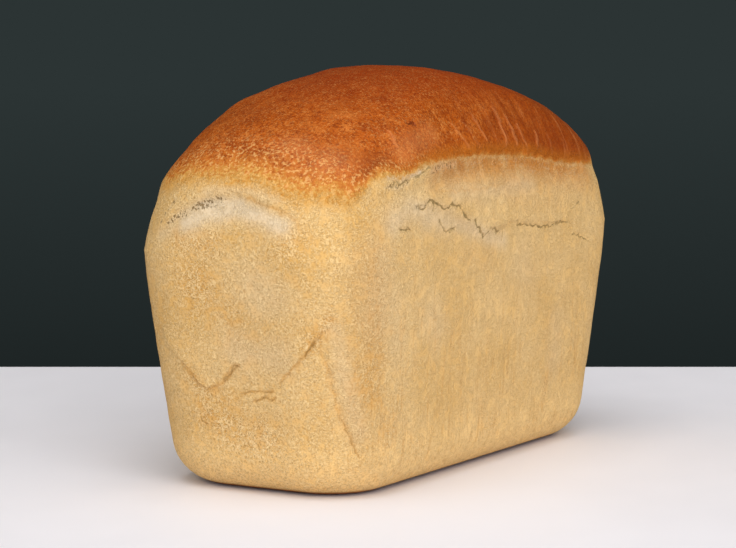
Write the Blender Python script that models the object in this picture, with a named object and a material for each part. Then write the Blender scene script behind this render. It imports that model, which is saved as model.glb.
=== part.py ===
"""An uncut tin loaf, as one solid.

The loaf stands on its flat base, centred on the origin, with its length along X. Its walls are the tapering
walls of the tin it was baked in. Above the tin's rim the dough rose into a crown, which tore away from the
walls along a break line, and the crown's crust hangs a little over a shallow valley. The ends show where
the dough was folded. Metres, +Z up.
"""
import bpy
import numpy as np

# The tin. Heights are measured from its floor, and the loaf's base lies a little above that.
BASE_LENGTH = 0.2165
BASE_WIDTH = 0.100
BASE_LEVEL = 0.0016
RIM_HEIGHT = 0.0987
END_SLOPE = 0.183          # how far an end wall leans out for each metre of height
SIDE_SLOPE = 0.058
CORNER_RADIUS = 0.0323     # of the upright corners
BASE_ROUNDING = 0.0165     # where the walls turn into the base
SHOULDER = 0.009           # how softly the leaning walls turn upright at the rim

# The crown: its section shrinks with height as (1 - t ** rise) ** (1 / turn), t going from 0 to 1
CROWN_HEIGHT = 0.0720
SIDE_RISE, SIDE_TURN = 2.61, 2.99
END_RISE, END_TURN = 3.43, 1.425
CORNER_OPENING = 3         # how soon the upright corners open out into round ends, above the rim

# The crust's lip and the valley below it, which run round the whole loaf
LIP_HEIGHT = 0.127         # at the corners
LIP_ARCH = 0.010           # how much higher it runs in the middle of a long side
LIP_WAVE = 0.0015
LIP_SWELL = 0.0012
LIP_SPREAD = 0.007
VALLEY_DEPTH = 0.0021
VALLEY_DROP = 0.007        # below the lip
VALLEY_SPREAD = 0.0045

# The break line on each wall, as distance along the wall and height, with the crown standing proud above it
BREAK_LINES = {
    "near end": [(0.044, 0.104), (0.037, 0.107), (0.031, 0.112), (0.024, 0.119), (0.015, 0.122),
                 (0.006, 0.124), (-0.005, 0.126), (-0.016, 0.124), (-0.028, 0.119), (-0.034, 0.111)],
    "far end": [(0.042, 0.110), (0.030, 0.117), (0.012, 0.121), (-0.006, 0.120), (-0.024, 0.116),
                (-0.043, 0.107)],
    "near side": [(-0.085, 0.109), (-0.070, 0.118), (-0.052, 0.117), (-0.040, 0.112), (-0.014, 0.102),
                  (0.010, 0.105), (0.036, 0.103), (0.068, 0.100), (0.089, 0.089)],
    "far side": [(-0.094, 0.098), (-0.062, 0.107), (-0.036, 0.106), (-0.008, 0.112), (0.020, 0.110),
                 (0.049, 0.118), (0.078, 0.112), (0.092, 0.103)],
}
BREAK_STEP = {"near end": 0.0010, "far end": 0.0010, "near side": 0.0008, "far side": 0.0009}
BREAK_SPREAD = 0.009
BREAK_FADE = 0.30          # the share of a break line over which it dies away at either end
PATH_FADE = 0.15           # and the same of a fold or crease

# Folds in the ends: each flap of dough overlaps what is below its edge
FOLDS = {
    "near end": [
        [(0.038, 0.073), (0.030, 0.062), (0.023, 0.050), (0.017, 0.045), (0.012, 0.046), (0.005, 0.050),
         (-0.001, 0.056)],
        [(-0.015, 0.052), (-0.022, 0.053), (-0.028, 0.057), (-0.033, 0.061), (-0.037, 0.066),
         (-0.042, 0.072)],
    ],
    "far end": [
        [(0.041, 0.066), (0.030, 0.049), (0.013, 0.041), (-0.004, 0.045), (-0.012, 0.055)],
        [(-0.020, 0.081), (-0.031, 0.068), (-0.040, 0.050), (-0.043, 0.030)],
    ],
}
FOLD_STEP = 0.0008
FOLD_SPREAD = 0.009

# Creases pressed in by the tin's corners
CREASES = {
    "near end": [(-0.038, 0.064), (-0.040, 0.048), (-0.041, 0.037), (-0.043, 0.027), (-0.044, 0.017)],
    "far end": [(0.040, 0.058), (0.042, 0.040), (0.043, 0.024)],
}
CREASE_DEPTH = 0.0012
CREASE_WIDTH = 0.0030

# Swellings of the crown: centre, radius and height
SWELLINGS = [
    ((-0.108, -0.034, 0.134), 0.016, 0.0016),
    ((-0.092, 0.044, 0.138), 0.024, -0.0014),
    ((-0.048, -0.006, 0.169), 0.030, 0.0007),
    ((0.052, -0.020, 0.166), 0.040, -0.0010),
    ((0.104, 0.028, 0.138), 0.024, 0.0014),
    ((0.044, 0.040, 0.155), 0.026, 0.0010),
]

# The mesh
COLUMNS_LONG, COLUMNS_SHORT = 44, 20
ROUNDING_ROWS = 3
WALL_ROWS = 9
UPPER_ROWS = 5
CROWN_ROWS = 14
UPPER_WALL = 0.072         # height where the rows become closer
REACH = 0.20               # longer than any way out of the loaf
HALVINGS = 26

CRUST_COLOUR = (0.60, 0.36, 0.16, 1.0)
CRUST_ROUGHNESS = 0.72


def clear_scene():
    """Takes away every object that the scene holds."""
    for thing in list(bpy.data.objects):
        bpy.data.objects.remove(thing, do_unlink=True)


def depth_in_loaf(points):
    """Says how far outside the plain form each point is; inside it the value is negative."""
    x, y, z = np.abs(points[:, 0]), np.abs(points[:, 1]), points[:, 2]
    wall = np.clip(z, 0, None) - SHOULDER * np.logaddexp(0, (z - RIM_HEIGHT) / SHOULDER)
    rise = np.clip((z - RIM_HEIGHT) / CROWN_HEIGHT, 0, 1)
    half_length = (BASE_LENGTH / 2 + END_SLOPE * wall) * (1 - rise ** END_RISE) ** (1 / END_TURN)
    half_width = (BASE_WIDTH / 2 + SIDE_SLOPE * wall) * (1 - rise ** SIDE_RISE) ** (1 / SIDE_TURN)
    radius = BASE_WIDTH / 2 - (BASE_WIDTH / 2 - CORNER_RADIUS) * (1 - rise) ** CORNER_OPENING
    radius = np.minimum(radius, np.minimum(half_length, half_width) + 1e-9)
    across, along = x - half_length + radius, y - half_width + radius
    plan = np.hypot(np.maximum(across, 0), np.maximum(along, 0)) + np.minimum(np.maximum(across, along), 0)
    out = plan - radius + BASE_ROUNDING
    down = BASE_LEVEL + BASE_ROUNDING - z
    edge = np.hypot(np.maximum(out, 0), np.maximum(down, 0)) + np.minimum(np.maximum(out, down), 0)
    return np.maximum(edge - BASE_ROUNDING, np.maximum(z - RIM_HEIGHT - CROWN_HEIGHT, BASE_LEVEL - z))


def on_surface(starts, directions):
    """Follows each direction from inside the loaf to the plain form's surface."""
    inside = np.zeros(len(starts))
    outside = np.full(len(starts), REACH)
    for _ in range(HALVINGS):
        middle = (inside + outside) / 2
        hit = depth_in_loaf(starts + directions * middle[:, None]) > 0
        outside = np.where(hit, middle, outside)
        inside = np.where(hit, inside, middle)
    return starts + directions * inside[:, None]


def surface_normals(points, step=0.0008):
    """Gives the plain form's outward direction at each point, from differences of its depth."""
    slopes = []
    for axis in range(3):
        shift = np.zeros(3)
        shift[axis] = step
        slopes.append(depth_in_loaf(points + shift) - depth_in_loaf(points - shift))
    normals = np.stack(slopes, axis=1)
    return normals / np.maximum(np.linalg.norm(normals, axis=1, keepdims=True), 1e-12)


def wall_path(face, places):
    """Lifts places on one face, given as distance along it and height, onto the loaf's surface."""
    along, height = np.array(places).T
    zero = np.zeros(len(along))
    outward = -1.0 if face.startswith("near") else 1.0
    if face.endswith("end"):
        starts = np.stack([zero, along, height], axis=1)
        direction = (outward, 0.0, 0.0)
    else:
        starts = np.stack([along, zero, height], axis=1)
        direction = (0.0, outward, 0.0)
    return on_surface(starts, np.tile(direction, (len(along), 1)))


def nearest_on_path(points, path):
    """Gives each point's distance to a path, its place along it from 0 to 1, and how far above it lies."""
    lengths = np.linalg.norm(np.diff(path, axis=0), axis=1)
    run = np.concatenate([[0], np.cumsum(lengths)])
    distance = np.full(len(points), REACH)
    place = np.zeros(len(points))
    above = np.zeros(len(points))
    for first, last, length, before in zip(path[:-1], path[1:], lengths, run):
        share = np.clip((points - first) @ (last - first) / length ** 2, 0, 1)
        offset = points - first - share[:, None] * (last - first)
        size = np.linalg.norm(offset, axis=1)
        closer = size < distance
        distance = np.where(closer, size, distance)
        place = np.where(closer, (before + share * length) / run[-1], place)
        above = np.where(closer, offset[:, 2], above)
    return distance, place, above


def fade_ends(place, share):
    """Is 1 along most of a path and falls to 0 over the given share of it at either end."""
    ramp = np.clip(np.minimum(place, 1 - place) / share, 0, 1)
    return ramp * ramp * (3 - 2 * ramp)


def step_along(points, path, height, spread, fade):
    """Raises the surface above a path and sinks it below, most at the path and less away from it."""
    distance, place, above = nearest_on_path(points, path)
    side = np.tanh(4 * above / spread)
    return height * side * np.exp(-(distance / spread) ** 2) * fade_ends(place, fade)


def groove_along(points, path, depth, width):
    """Sinks the surface along a path."""
    distance, place, _ = nearest_on_path(points, path)
    return -depth * np.exp(-(distance / width) ** 2) * fade_ends(place, PATH_FADE)


def lip_and_valley(points, normals):
    """Makes the crust's lip stand out and the valley run below it, deepest on the long sides."""
    side = np.abs(normals[:, 1])
    arch = np.cos(np.pi * np.clip(points[:, 0] / BASE_LENGTH, -0.5, 0.5))
    wave = np.sin(points[:, 0] * 61 + points[:, 1] * 83)
    lip = LIP_HEIGHT + LIP_ARCH * side * arch + LIP_WAVE * wave
    below = points[:, 2] - lip
    swell = LIP_SWELL * np.exp(-(below / LIP_SPREAD) ** 2)
    depth = VALLEY_DEPTH * (0.35 + 0.65 * side * arch)
    valley = depth * np.exp(-((below + VALLEY_DROP) / VALLEY_SPREAD) ** 2)
    return swell - valley


def crown_swellings(points):
    """Makes the crown uneven, with broad swellings and hollows."""
    relief = np.zeros(len(points))
    for centre, radius, height in SWELLINGS:
        distance = np.linalg.norm(points - np.array(centre), axis=1)
        relief += height * np.exp(-(distance / radius) ** 2)
    return relief


def loaf_relief(points, normals):
    """Adds up how far every point of the surface stands out of the plain form."""
    relief = lip_and_valley(points, normals) + crown_swellings(points)
    for face, places in BREAK_LINES.items():
        relief += step_along(points, wall_path(face, places), BREAK_STEP[face], BREAK_SPREAD, BREAK_FADE)
    for face, folds in FOLDS.items():
        for places in folds:
            relief += step_along(points, wall_path(face, places), FOLD_STEP, FOLD_SPREAD, PATH_FADE)
    for face, places in CREASES.items():
        relief += groove_along(points, wall_path(face, places), CREASE_DEPTH, CREASE_WIDTH)
    return relief * np.clip((points[:, 2] - BASE_LEVEL) / BASE_ROUNDING, 0, 1)


def ring_places():
    """Goes once round a rectangle from -1 to 1, seen from above and anticlockwise."""
    across = np.linspace(-1, 1, COLUMNS_LONG + 1)
    along = np.linspace(-1, 1, COLUMNS_SHORT + 1)
    near = [(u, -1.0) for u in across[:-1]]
    right = [(1.0, v) for v in along[:-1]]
    far = [(u, 1.0) for u in across[:0:-1]]
    left = [(-1.0, v) for v in along[:0:-1]]
    return near + right + far + left


def wall_rays(ring):
    """Gives the starts and directions of the rows from the base up to the edge of the crown's top."""
    half_length = BASE_LENGTH / 2 + END_SLOPE * RIM_HEIGHT
    half_width = BASE_WIDTH / 2 + SIDE_SLOPE * RIM_HEIGHT
    turn = np.linspace(0, np.pi / 2, ROUNDING_ROWS + 1)[:-1]
    heights = np.concatenate([
        BASE_LEVEL + BASE_ROUNDING * (1 - np.cos(turn)),
        np.linspace(BASE_LEVEL + BASE_ROUNDING, UPPER_WALL, WALL_ROWS + 1)[:-1],
        np.linspace(UPPER_WALL, RIM_HEIGHT, UPPER_ROWS + 1)[:-1],
    ])
    level = [(height, 0.0) for height in heights]
    rising = [(RIM_HEIGHT, share * CROWN_HEIGHT) for share in np.linspace(0, 1, CROWN_ROWS + 1)]
    starts, directions = [], []
    for height, lift in level + rising:
        for u, v in ring:
            starts.append((0, 0, height))
            directions.append((u * half_length, v * half_width, lift))
    return np.array(starts), np.array(directions)


def top_rays():
    """Gives the starts and directions of the points inside the edge of the crown's top."""
    half_length = BASE_LENGTH / 2 + END_SLOPE * RIM_HEIGHT
    half_width = BASE_WIDTH / 2 + SIDE_SLOPE * RIM_HEIGHT
    directions = []
    for v in np.linspace(-1, 1, COLUMNS_SHORT + 1)[1:-1]:
        for u in np.linspace(-1, 1, COLUMNS_LONG + 1)[1:-1]:
            directions.append((u * half_length, v * half_width, CROWN_HEIGHT))
    return np.tile((0.0, 0.0, RIM_HEIGHT), (len(directions), 1)), np.array(directions)


def loaf_faces(ring_length, rows):
    """Joins the points: the base, the bands between the rows, and the grid of the crown's top."""
    faces = [tuple(range(ring_length))[::-1]]
    for row in range(rows - 1):
        for column in range(ring_length):
            following = (column + 1) % ring_length
            low, high = row * ring_length, (row + 1) * ring_length
            faces.append((low + column, low + following, high + following, high + column))
    edge = (rows - 1) * ring_length
    inner = rows * ring_length

    def top_point(i, j):
        """Numbers the point of the top that is i along and j across."""
        if j == 0:
            return edge + i
        if i == COLUMNS_LONG:
            return edge + COLUMNS_LONG + j
        if j == COLUMNS_SHORT:
            return edge + 2 * COLUMNS_LONG + COLUMNS_SHORT - i
        if i == 0:
            return edge + ring_length - j
        return inner + (j - 1) * (COLUMNS_LONG - 1) + i - 1

    for j in range(COLUMNS_SHORT):
        for i in range(COLUMNS_LONG):
            corners = [top_point(i, j), top_point(i + 1, j), top_point(i + 1, j + 1), top_point(i, j + 1)]
            faces.append(tuple(corners))
    return faces


def crust_material():
    """Makes the baked crust's plain material."""
    material = bpy.data.materials.new("baked crust")
    material.use_nodes = True
    shader = material.node_tree.nodes["Principled BSDF"]
    shader.inputs["Base Color"].default_value = CRUST_COLOUR
    shader.inputs["Roughness"].default_value = CRUST_ROUGHNESS
    shader.inputs["Metallic"].default_value = 0.0
    return material


def make_loaf():
    """Builds the loaf, centred over the origin and standing on its base."""
    ring = ring_places()
    wall_starts, wall_directions = wall_rays(ring)
    top_starts, top_directions = top_rays()
    directions = np.concatenate([wall_directions, top_directions])
    directions /= np.linalg.norm(directions, axis=1, keepdims=True)
    points = on_surface(np.concatenate([wall_starts, top_starts]), directions)
    normals = surface_normals(points)
    points = points + normals * loaf_relief(points, normals)[:, None]
    points[:len(ring), 2] = BASE_LEVEL
    points[:, 2] -= BASE_LEVEL
    points[:, :2] -= (points[:, :2].min(axis=0) + points[:, :2].max(axis=0)) / 2
    mesh = bpy.data.meshes.new("loaf")
    mesh.from_pydata(points.tolist(), [], loaf_faces(len(ring), len(wall_starts) // len(ring)))
    mesh.shade_smooth()
    mesh.materials.append(crust_material())
    loaf = bpy.data.objects.new("loaf", mesh)
    bpy.context.scene.collection.objects.link(loaf)
    return loaf


clear_scene()
make_loaf()
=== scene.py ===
"""The looks of the tin loaf: its crust as one fine mesh, the crust's material, the table, lights and camera.

The mesh is the solid's plain form made much finer, and raised and sunk along its outward direction. Masks on
its points tell the material where the crust is browned, cracked or pale, and where shade and sheen are
painted on it.
"""
import math

import bmesh
import bpy
import numpy as np
from mathutils import Matrix, Vector, noise


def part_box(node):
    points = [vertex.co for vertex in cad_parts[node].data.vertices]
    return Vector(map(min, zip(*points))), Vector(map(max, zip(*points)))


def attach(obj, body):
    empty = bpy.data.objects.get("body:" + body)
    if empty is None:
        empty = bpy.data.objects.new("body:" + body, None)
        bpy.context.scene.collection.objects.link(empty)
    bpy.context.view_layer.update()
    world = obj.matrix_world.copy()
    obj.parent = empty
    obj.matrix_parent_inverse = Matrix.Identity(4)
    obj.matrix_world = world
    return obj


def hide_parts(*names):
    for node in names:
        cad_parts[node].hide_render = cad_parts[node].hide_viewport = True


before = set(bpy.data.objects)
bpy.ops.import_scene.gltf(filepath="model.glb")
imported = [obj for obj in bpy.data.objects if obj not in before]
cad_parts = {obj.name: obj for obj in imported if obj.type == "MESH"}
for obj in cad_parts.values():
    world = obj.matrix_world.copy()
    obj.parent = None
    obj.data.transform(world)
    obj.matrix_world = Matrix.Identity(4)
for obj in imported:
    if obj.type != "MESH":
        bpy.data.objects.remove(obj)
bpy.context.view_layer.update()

# The tin, as the solid has it. Heights are measured from its floor, a little below the loaf's base.
BASE_LENGTH = 0.2165
BASE_WIDTH = 0.100
BASE_LEVEL = 0.0016
RIM_HEIGHT = 0.0987
END_SLOPE = 0.183
SIDE_SLOPE = 0.058
CORNER_RADIUS = 0.0323
BASE_ROUNDING = 0.0165
SHOULDER = 0.009
RIM_HALF_LENGTH = BASE_LENGTH / 2 + END_SLOPE * RIM_HEIGHT
RIM_HALF_WIDTH = BASE_WIDTH / 2 + SIDE_SLOPE * RIM_HEIGHT

# The crown, as the solid has it
CROWN_HEIGHT = 0.0720
SIDE_RISE, SIDE_TURN = 2.61, 2.99
END_RISE, END_TURN = 3.43, 1.425
CORNER_OPENING = 3
LIP_HEIGHT = 0.127
LIP_ARCH = 0.010
LIP_WAVE = 0.0015
LIP_WAVE_TURNS = (61, 83)  # radians per metre along and across the loaf
LIP_SWELL = 0.0012
LIP_SPREAD = 0.007
VALLEY_DEPTH = 0.0021
VALLEY_DROP = 0.007
VALLEY_SPREAD = 0.0045
LIP_AT_CORNERS = 0.6  # the share of the lip, and of the valley, left where the long sides end
VALLEY_AT_CORNERS = 0.2
SWELLINGS = [
    ((-0.108, -0.034, 0.134), 0.016, 0.0016),
    ((-0.092, 0.044, 0.138), 0.024, -0.0014),
    ((-0.048, -0.006, 0.169), 0.030, 0.0007),
    ((0.052, -0.020, 0.166), 0.040, -0.0010),
    ((0.104, 0.028, 0.138), 0.024, 0.0014),
    ((0.044, 0.040, 0.155), 0.026, 0.0010),
]

# Small bumps of the crown: centre, radius and height
CROWN_BUMPS = [
    ((-0.060, 0.036, 0.157), 0.007, 0.0007),
    ((-0.082, 0.042, 0.146), 0.006, 0.0006),
    ((-0.010, 0.022, 0.169), 0.006, 0.0006),
    ((-0.020, 0.000, 0.171), 0.009, 0.0005),
]

# From here on, places on a face are its distance along the face and its height, in millimetres.
# The lines where the crown broke away from the walls
BREAK_LINES = {
    "near end": [(44, 104), (37, 107), (31, 112), (24, 118), (15, 121), (6, 123), (-5, 124), (-16, 122),
                 (-25, 119), (-31, 115), (-33, 111)],
    "far end": [(42, 110), (30, 117), (12, 121), (-6, 120), (-24, 116), (-43, 107)],
    "near side": [(-85, 109), (-70, 118), (-52, 117), (-40, 112), (-14, 102), (10, 105), (36, 103),
                  (68, 100), (89, 89)],
    "far side": [(-94, 98), (-62, 107), (-36, 106), (-8, 112), (20, 110), (49, 118), (78, 112), (92, 103)],
}
BREAK_STEP = {"near end": 0.0006, "far end": 0.0007, "near side": 0.0007, "far side": 0.0008}
BREAK_SPREAD = 0.009
BREAK_FADE = 0.30
BREAK_EDGE = 0.0012  # how sharp the step is
BREAK_STRAYING = 0.35  # how much of the cracks' straying the steps and creases share

# The folds in the ends, whose flaps overlap what is below them
FOLDS = {
    "near end": [
        [(38, 73), (37.5, 66), (33, 60), (28, 56), (24, 53), (21.5, 49), (19.5, 46.5), (16.5, 45.3),
         (13, 45.3), (9, 47), (6, 50), (3.5, 53), (1, 55.3), (-2, 56.2)],
        [(-20, 51), (-24.5, 54), (-28, 58), (-31, 61), (-33, 63.5), (-35, 66.7), (-37, 68.5), (-39, 72),
         (-41.5, 76)],
    ],
    "far end": [
        [(41, 66), (30, 49), (13, 41), (-4, 45), (-12, 55)],
        [(-20, 81), (-31, 68), (-40, 50), (-43, 30)],
    ],
}
FOLD_STEP = 0.0005
FOLD_SPREAD = 0.007
FOLD_EDGE = 0.0003
PATH_FADE = 0.15

# The creases by the tin's corners
CREASES = {
    "near end": [(-36, 66), (-38.5, 60), (-39.7, 52), (-40, 46), (-40.5, 40), (-42, 32), (-43.5, 26),
                 (-45, 18)],
    "far end": [(40, 58), (42, 40), (43, 24)],
}
CREASE_DEPTH = 0.0009
CREASE_WIDTH = 0.0018
CREASE_RIDGE = 0.0005  # the ridge that stands beside a crease
CREASE_RIDGE_SHIFT = 0.0040

# The same folds and creases, small tears and shadows under the lip, as soft golden-brown lines, partly
# painted shade
FOLD_AND_SHADOW_LINES = {
    "near end": [
        ([(38, 71), (37.5, 66), (33, 60), (28, 56), (24, 53), (21.5, 49)], 0.50),
        (FOLDS["near end"][0][4:11], 0.68),
        ([(9, 47), (5.8, 50), (3.5, 53), (1, 55.3), (-2, 56.2)], 0.82),
        ([(-17, 49), (-20, 51), (-24.5, 54), (-28, 58), (-31, 61), (-33, 63.5), (-35, 66.7), (-37, 69),
          (-39, 72)], 0.72),
        ([(-31, 61), (-33, 63.5), (-34.5, 66), (-36.5, 68)], 1.0),
        (CREASES["near end"][:6], 0.60),
        ([(-41, 38), (-42.2, 31), (-43.5, 26), (-45, 18)], 0.74),
        ([(1, 43.8), (-6, 45), (-12, 45.4), (-17, 46.6)], 0.82),
        ([(-5, 40.5), (-10.5, 42.8), (-14, 42.5), (-18, 44)], 0.82),
        ([(-14, 45), (-11, 41.2)], 0.6),
        ([(21, 31.3), (19, 30.2), (16, 30)], 0.85),
        # painted shadow under the lip above the pale arch
        ([(-8, 123.5), (-16, 121.8), (-24, 118.7), (-29, 115.8), (-32, 112)], 0.66),
    ],
    "near side": [
        # painted shadow line along the groove below the lip
        ([(-54, 122.5), (-34, 121.7), (-13, 121.4), (8, 121.6)], 0.45),
    ],
    "far end": [
        (FOLDS["far end"][0], 0.8),
        (FOLDS["far end"][1], 0.75),
        ([(-14, 60), (-18, 57), (-24, 56)], 0.8),
        (CREASES["far end"], 0.7),
    ],
}

# Fine cracks: path and how strongly each shows, from 0 to 1
CRACKS = {
    "near side": [
        ([(-68, 121), (-68, 117), (-66.5, 116), (-63.5, 117), (-61, 118), (-58.5, 120), (-54, 118),
          (-50, 115.5), (-45, 116), (-42.5, 117), (-38.5, 115.5), (-34, 114.5), (-33, 112.5), (-30, 110.5),
          (-26, 109), (-23, 109)], 0.92),
        ([(-24.5, 110), (-23, 108.5), (-21, 106.5), (-18, 104), (-14.5, 101), (-11, 102.5), (-8.5, 104),
          (-2.5, 102.5), (2.5, 102.5)], 0.88),
        ([(-58.5, 120), (-56, 117), (-56, 114)], 0.9),
        ([(-53, 112.5), (-52, 111), (-50.5, 109), (-47.5, 106.5), (-43, 105.5), (-40.5, 106), (-37, 107.5)],
          0.85),
        ([(3, 103.5), (3, 100), (2, 97.5)], 0.85),
        ([(11, 107), (17.5, 103.5), (27, 102.7), (36, 101.7), (44, 100), (46, 100.3), (55.5, 101.7),
          (66, 100.2)], 0.85),
        ([(67, 95.5), (75.5, 93.7), (86, 90)], 0.74),
        ([(65.5, 105.5), (69.5, 107.5), (75, 109)], 0.70),
        ([(-85, 110), (-79.5, 109.5), (-75.3, 108.4)], 0.82),
        ([(-78.5, 110.5), (-76.5, 109.2), (-75.3, 108.4)], 0.75),
        ([(-89, 129.5), (-86.5, 127), (-84, 128.8), (-83, 127), (-81, 128.2), (-74.5, 129), (-68, 130),
          (-65, 130.7), (-61.5, 131.3), (-57.5, 133), (-55.5, 131.7), (-54, 130.8)], 0.75),
        ([(-61.5, 151), (-59.5, 150.3), (-56.5, 150)], 0.9),
    ],
    "near end": [
        ([(-33, 115), (-36, 117), (-39, 116)], 0.5),
    ],
    "far end": [
        ([(40, 110.5), (30, 116.5), (12, 121), (-10, 119.5), (-30, 114.5)], 0.6),
    ],
    "far side": [
        ([(-80, 102.5), (-75, 106), (-66, 106.8), (-58, 105.2), (-52, 109), (-46, 107.5), (-36, 105)], 0.9),
        ([(-26, 108.5), (-21, 113), (-15, 112), (-8, 110.5), (3, 113), (9, 109.5), (14, 110)], 0.7),
        ([(26, 112.5), (30, 116), (34, 115), (41, 114.5), (44, 118), (49, 118.5), (60, 116), (70, 114.5)],
          0.95),
        ([(41, 114.5), (46, 111), (55, 109)], 0.7),
        ([(60, 131), (64, 129), (67, 130.5), (74, 128)], 0.6),
    ],
}
CRACK_DEPTH = 0.0006
CRACK_REACH = 0.0012  # from a crack's middle to where nothing of it shows
CRACK_DRIFT = 0.0012  # how far a crack strays from its path
CRACK_JITTER = 0.00048  # and how far it zigzags about that
CRACK_TURN = 0.0030  # over what length it strays; the zigzags are a third as long
TORN_DEPTH = 0.0003
FOLD_DEPTH = 0.0006
FOLD_REACH = 0.0013
LINE_FADE = 0.12  # the share of a line over which it dies away at either end

# Fine raised wrinkles where the crust of the crown stretched
WRINKLES = {
    "near side": [
        ([(-22, 137), (-25, 144), (-29, 150)], 0.7),
        ([(-12, 137), (-14, 141), (-18, 149)], 0.5),
        ([(-5, 139), (-6, 146), (-9, 153)], 0.9),
        ([(9, 136), (12, 141), (14, 148), (12, 155)], 0.9),
        ([(20, 136.5), (21.5, 144), (20, 151)], 1.0),
        ([(29, 135.5), (27.5, 141), (28, 147)], 0.8),
        ([(38.5, 135.5), (41, 140), (41.5, 143)], 1.0),
        ([(50, 131), (52, 136), (51, 142)], 0.5),
        ([(-73, 149), (-73.5, 145), (-74.5, 141)], 1.0),
    ],
    "far side": [
        ([(-30, 136), (-27, 143), (-29, 151)], 0.8),
        ([(-12, 137), (-10, 146), (-12, 153)], 0.9),
        ([(8, 137), (6, 145), (9, 152)], 0.7),
        ([(26, 135), (27, 142), (25, 149)], 0.8),
    ],
}
WRINKLE_HEIGHT = 0.00030
WRINKLE_REACH = 0.0018

# Soft patches of another tone, among them painted shade and painted sheen, and the torn strips where open
# pores
# show: face, path, how far each spreads and how strongly it shows
PATCHES = {
    "golden_and_shade": [
        ("near end", [(15, 88), (13, 87)], 10, 0.8),
        ("near end", [(22, 105), (8, 104)], 6, 0.7),
        ("near end", [(-26, 104), (-30, 107)], 9, 0.5),
        ("near end", [(2, 77), (0, 74)], 10, 0.4),
        ("near end", [(18, 34), (14, 32)], 6, 1.0),
        ("near end", [(8, 29), (0, 24), (-8, 24)], 10, 1.0),
        ("near end", [(-34, 66), (-38, 72), (-41, 76)], 3, 1.0),
        ("near end", [(24, 49), (16, 42), (4, 40)], 5, 0.6),
        # painted shade: a darker strip on the near side beside the near corner
        ("near side", [(-102, 100), (-99, 76), (-99, 46)], 8.5, 0.6),
        ("near side", [(-9, 26), (-6, 20), (4, 21)], 4.5, 1.0),
        ("near side", [(50, 33), (48, 24), (43, 17)], 2.2, 1.0),
        ("near side", [(-86, 33), (-84, 27)], 6, 0.6),
        ("near side", [(-66, 19), (-60, 17)], 6, 0.7),
        ("near side", [(10, 116), (26, 113), (50, 112)], 6, 0.5),
        ("near side", [(-28, 95), (-8, 92)], 7, 0.4),
        ("far side", [(30, 28), (40, 22)], 7, 0.9),
        ("far side", [(-60, 84), (-48, 70)], 11, 0.6),
        ("far side", [(74, 60), (70, 44)], 8, 0.6),
        ("far end", [(-16, 92), (-8, 84)], 10, 0.7),
        ("far end", [(6, 30), (-10, 26)], 8, 0.9),
    ],
    "pale": [
        ("near end", [(-13, 88), (-20, 84)], 11, 0.35),
        ("near end", [(-2, 61), (-20, 61)], 9, 0.42),
        ("near end", [(20, 112.5), (8, 117), (-4, 118.5), (-15, 117), (-25, 113)], 5, 1.0),
        ("near end", [(12, 118.5), (2, 120.5), (-6, 120.5)], 3.5, 1.0),
        ("near end", [(34, 107), (26, 110), (18, 114)], 3.4, 0.4),
        ("near end", [(10, 125), (-8, 126.5), (-22, 123)], 3, 0.5),
        ("near end", [(-43, 72), (-44, 50), (-46, 30)], 4.4, 0.35),
        ("near side", [(-90, 113), (-74, 118), (-60, 113), (-46, 110)], 6.5, 0.6),
        ("near side", [(-44, 110), (-26, 106), (-10, 101), (4, 98)], 4, 0.55),
        ("near side", [(-90, 84), (-86, 66)], 9, 0.2),
        ("near side", [(-98, 100), (-98, 74)], 11, 0.25),
        ("near side", [(-56, 72), (-50, 66)], 9, 0.2),
        ("near side", [(22, 88), (28, 82)], 9, 0.2),
        ("near side", [(56, 58), (56, 38)], 7, 0.25),
        ("near side", [(-40, 121), (-4, 120), (30, 120)], 4.5, 0.35),
        ("near side", [(-88, 130.5), (-80, 130), (-66, 131.5)], 1.4, 0.9),
        ("far side", [(-80, 106), (-50, 110), (-20, 112), (30, 116), (70, 114)], 5, 0.55),
        ("far end", [(34, 111), (12, 117), (-14, 116)], 4, 0.6),
    ],
    "dark": [
        # darker crust beside the nose bump, partly painted shade round its edge
        ("near side", [(-90, 137), (-93, 135)], 6, 1.0),
        ("near side", [(-57, 157), (-52, 160)], 6, 0.4),
        ("near side", [(12, 150), (14, 143)], 3, 0.5),
        ("far side", [(-50, 165), (-30, 168)], 6, 0.5),
        ("far side", [(60, 146), (52, 152)], 9, 0.6),
    ],
    # pinkish patches: the crown's paler crust, and painted sheen on the nose bump and the near shoulder
    "blush_and_sheen": [
        ("near end", [(-24, 141), (-18, 143)], 6, 0.8),
        ("near side", [(-74, 140), (-62, 143), (-50, 146)], 6, 0.8),
        ("near end", [(-36, 137), (-34, 133)], 7.5, 1.0),
        ("far end", [(20, 138), (0, 142)], 9, 0.7),
    ],
    "torn": [
        ("near end", [(29, 112), (24, 115), (20, 116.7), (15, 119), (10, 120.5), (3, 122.5)], 1.7, 1.0),
        ("near end", [(34, 112), (27, 121)], 1.2, 0.5),
        ("near side", [(-89, 127), (-83, 126.5), (-76, 128)], 1.3, 0.8),
        ("near side", [(-56, 131), (-48, 132.5), (-36, 132.5)], 1.6, 0.6),
        ("near side", [(-70, 118), (-66, 117.5), (-60, 119)], 1.4, 0.5),
        ("far end", [(32, 114), (20, 118), (8, 119.5)], 2.2, 0.8),
        ("far side", [(30, 112), (42, 114), (52, 116)], 2.2, 0.7),
    ],
}

# Dark blotches along the crown's top: centre and radius
CROWN_BLOTCHES = [
    ((-0.048, 0.003, 0.166), 0.012),
    ((-0.058, -0.014, 0.165), 0.007),
    ((-0.086, 0.014, 0.155), 0.010),
    ((-0.012, 0.020, 0.170), 0.011),
    ((0.040, -0.010, 0.168), 0.016),
    ((0.080, 0.010, 0.158), 0.013),
]

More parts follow.
